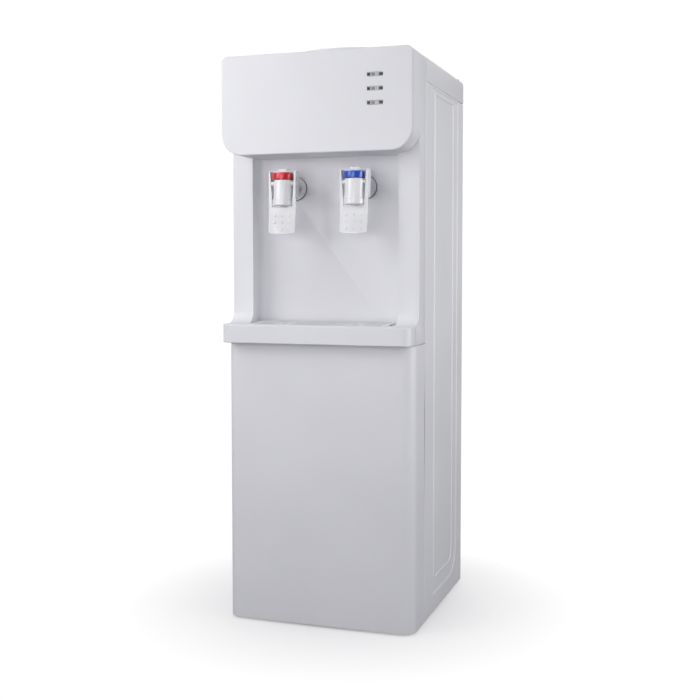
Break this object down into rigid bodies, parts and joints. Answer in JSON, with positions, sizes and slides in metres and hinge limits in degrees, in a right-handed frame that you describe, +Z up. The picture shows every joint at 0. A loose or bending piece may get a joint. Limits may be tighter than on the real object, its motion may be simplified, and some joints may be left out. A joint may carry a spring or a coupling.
{
  "type": "water dispenser",
  "caption": "Floor-standing top-loading water dispenser: rounded head over a cup bay with hot and cold lever taps, a projecting drip ledge and a tall lower cabinet.",
  "frame": {"origin": "on the floor at the centre of the footprint, which takes in the drip ledge", "axes": "+Z up, -Y out of the front where the taps are, +X to the right of someone who faces the back wall of the cup bay"},
  "size_m": [0.332, 0.375, 0.9833],
  "materials": {
    "white_abs": "satin moulded",
    "white_steel": "smooth painted sheet",
    "tap_white": "satin moulded",
    "hot_red": "glossy",
    "cold_blue": "glossy",
    "lens": "glossy",
    "circuit_board": "matte",
    "stainless": "drawn",
    "copper": "drawn tube",
    "black_paint": "satin black paint",
    "galvanised": "zinc coated sheet",
    "foam": "foam",
    "silicone": "matte",
    "rubber": "matte",
    "brass": "plain",
    "black_plastic": "matte moulded",
    "switch_red": "glossy",
    "switch_green": "glossy"
  },
  "bodies": {
    "case": {"front_housing": "white_abs", "head_fascia": "white_abs", "power_lens": "lens", "heating_lens": "lens", "cooling_lens": "lens", "indicator_board": "circuit_board", "lower_front_panel": "white_abs", "left_side_panel": "white_steel", "right_side_panel": "white_steel", "base_plate": "galvanised", "foot_front_left": "rubber", "foot_front_right": "rubber", "foot_rear_left": "rubber", "foot_rear_right": "rubber", "rear_panel": "galvanised", "top_deck": "white_abs", "bottle_collar": "white_abs", "cold_tank": "stainless", "cold_tank_baffle": "tap_white", "cold_tank_foam": "foam", "evaporator_coil": "copper", "tank_shelf": "galvanised", "hot_tank": "stainless", "heater_band": "brass", "cold_hose": "silicone", "hot_hose": "silicone", "feed_hose": "silicone", "drain_hose": "silicone", "condenser": "black_paint", "compressor": "black_paint", "discharge_pipe": "copper", "suction_pipe": "copper", "filter_drier": "copper", "switch_plate": "black_plastic", "power_inlet": "black_plastic", "hot_tap_body": "tap_white", "hot_bonnet": "tap_white", "hot_ring": "hot_red", "hot_spring": "stainless", "hot_escutcheon": "tap_white", "hot_nut": "tap_white", "cold_tap_body": "tap_white", "cold_bonnet": "tap_white", "cold_ring": "cold_blue", "cold_spring": "stainless", "cold_escutcheon": "tap_white", "cold_nut": "tap_white"},
    "hot_lever": {"hot_lever": "tap_white"},
    "cold_lever": {"cold_lever": "tap_white"},
    "hot_stem": {"hot_stem": "tap_white", "hot_seal": "silicone"},
    "cold_stem": {"cold_stem": "tap_white", "cold_seal": "silicone"},
    "drip_tray": {"drip_tray": "white_abs"},
    "drip_grille": {"drip_grille": "white_abs"},
    "hot_switch": {"hot_switch": "switch_red"},
    "cold_switch": {"cold_switch": "switch_green"},
    "drain_cap": {"drain_cap": "silicone"},
    "bottle_funnel": {"bottle_funnel": "tap_white"}
  },
  "joints": [
    {"name": "hot_lever_hinge", "type": "hinge", "parent": "case", "child": "hot_lever", "pos_m": [-0.063, -0.1579, 0.7475], "axis": [1, 0, 0], "range_deg": [0, 12], "stiffness_Nm_per_rad": 0.08, "springref_deg": -8.59},
    {"name": "hot_stem_lift", "type": "slide", "parent": "case", "child": "hot_stem", "axis": [0, 0, 1], "range_m": [0, 0.0028], "deforming": ["hot_spring"]},
    {"name": "cold_lever_hinge", "type": "hinge", "parent": "case", "child": "cold_lever", "pos_m": [0.063, -0.1579, 0.7475], "axis": [1, 0, 0], "range_deg": [0, 12], "stiffness_Nm_per_rad": 0.08, "springref_deg": -8.59},
    {"name": "cold_stem_lift", "type": "slide", "parent": "case", "child": "cold_stem", "axis": [0, 0, 1], "range_m": [0, 0.0028], "deforming": ["cold_spring"]},
    {"name": "tray_slide", "type": "slide", "parent": "case", "child": "drip_tray", "axis": [0, -1, 0], "range_m": [0, 0.09]},
    {"name": "grille_lift", "type": "slide", "parent": "drip_tray", "child": "drip_grille", "axis": [0, 0, 1], "range_m": [0, 0.04]},
    {"name": "funnel_lift", "type": "slide", "parent": "case", "child": "bottle_funnel", "axis": [0, 0, 1], "range_m": [0, 0.08]},
    {"name": "drain_cap_pull", "type": "slide", "parent": "case", "child": "drain_cap", "axis": [0, 1, 0], "range_m": [0, 0.012]},
    {"name": "hot_switch_rock", "type": "hinge", "parent": "case", "child": "hot_switch", "pos_m": [0.122, 0.159, 0.816], "axis": [1, 0, 0], "range_deg": [-16, 0]},
    {"name": "cold_switch_rock", "type": "hinge", "parent": "case", "child": "cold_switch", "pos_m": [0.122, 0.159, 0.784], "axis": [1, 0, 0], "range_deg": [-16, 0]}
  ],
  "couplings": [
    {"joint": "hot_stem_lift", "follows": "hot_lever_hinge", "m_per_rad": 0.013},
    {"joint": "cold_stem_lift", "follows": "cold_lever_hinge", "m_per_rad": 0.013}
  ]
}
